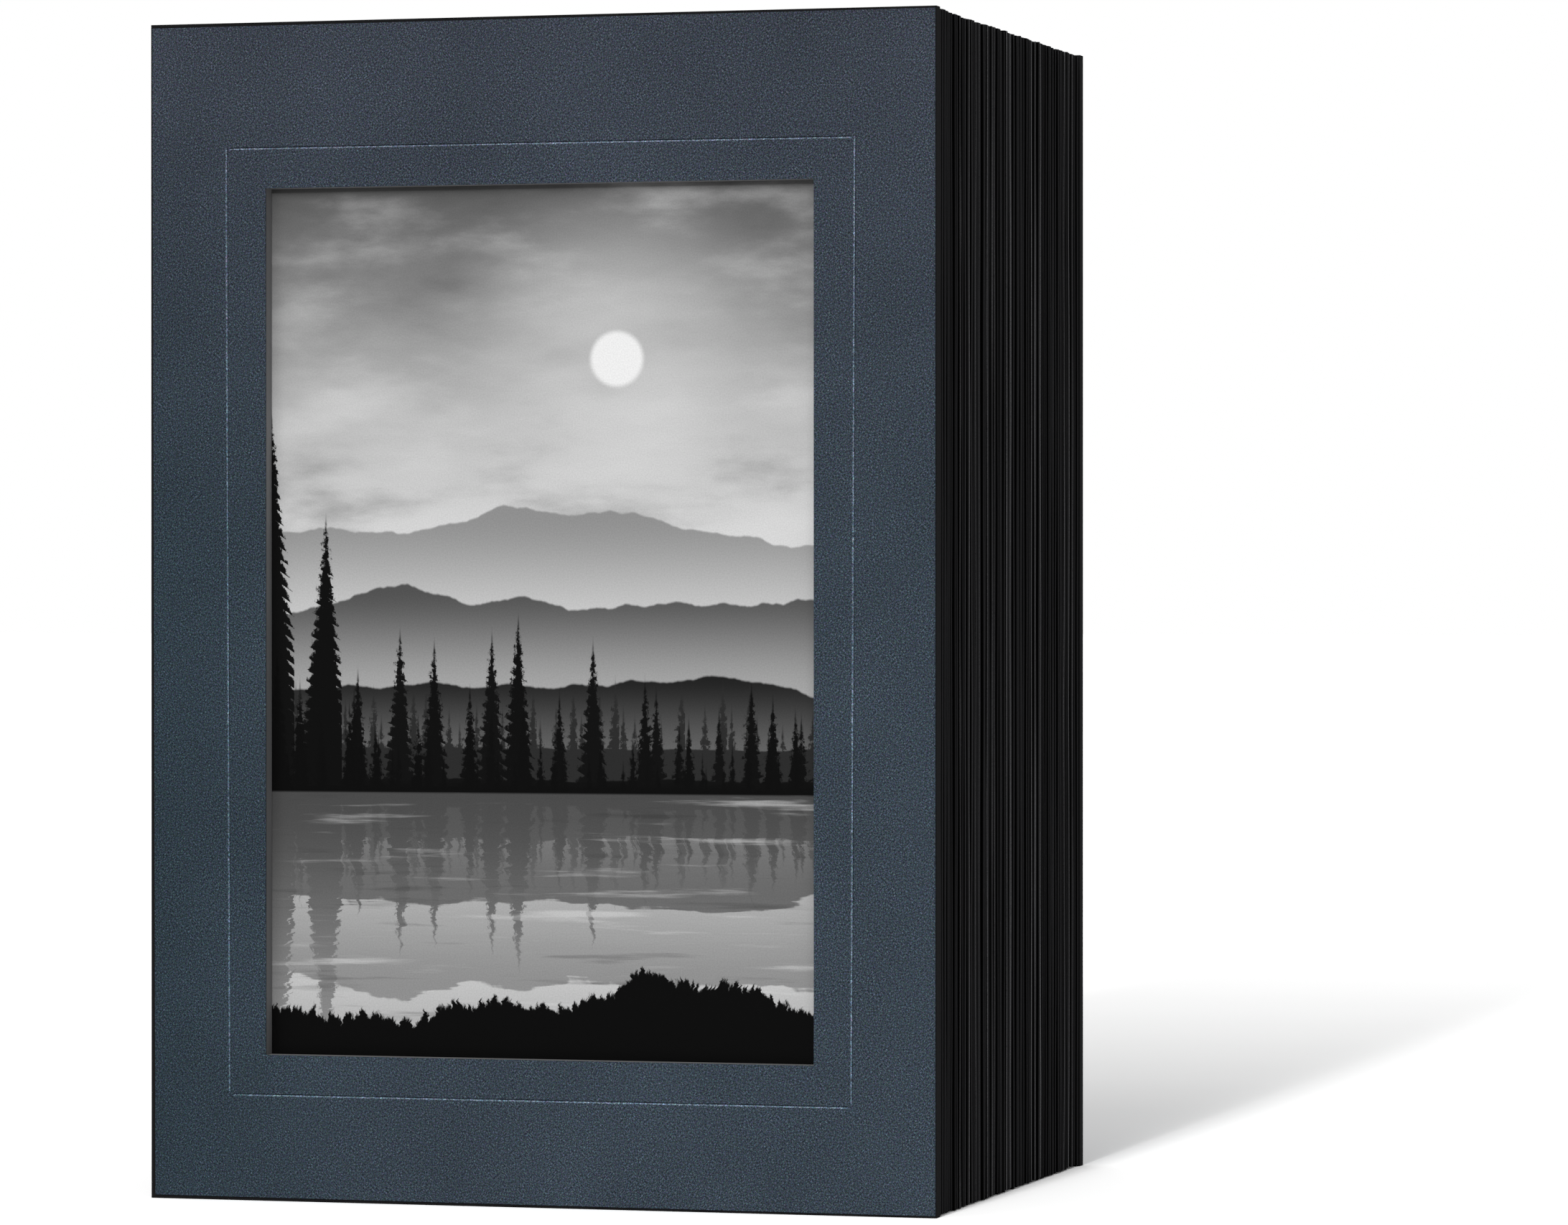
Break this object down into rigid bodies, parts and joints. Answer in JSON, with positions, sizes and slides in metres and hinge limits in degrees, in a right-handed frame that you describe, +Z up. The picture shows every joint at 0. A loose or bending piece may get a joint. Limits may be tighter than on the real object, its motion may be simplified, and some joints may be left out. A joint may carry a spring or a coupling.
{
  "type": "accordion photo folder",
  "caption": "Upright concertina photo folder: one long folded card strip between two paper-covered boards, with a portrait-format print behind a window in the front cover",
  "frame": {"origin": "middle of the base, at floor level, with the folder closed and standing upright", "axes": "+X to the right of the front cover, +Y from the front cover to the back cover, +Z up"},
  "size_m": [0.139, 0.0996, 0.2],
  "materials": {
    "cover_paper": "matte",
    "cover_board": "matte",
    "print": "satin",
    "adhesive": "satin",
    "leaf_card": "matte"
  },
  "bodies": {
    "root": {"front_face_paper": "cover_paper", "front_board": "cover_board", "photo_print": "print", "pocket_glue_strip": "adhesive", "accordion_strip": "leaf_card", "back_board": "cover_board", "back_face_paper": "cover_paper"}
  },
  "joints": []
}
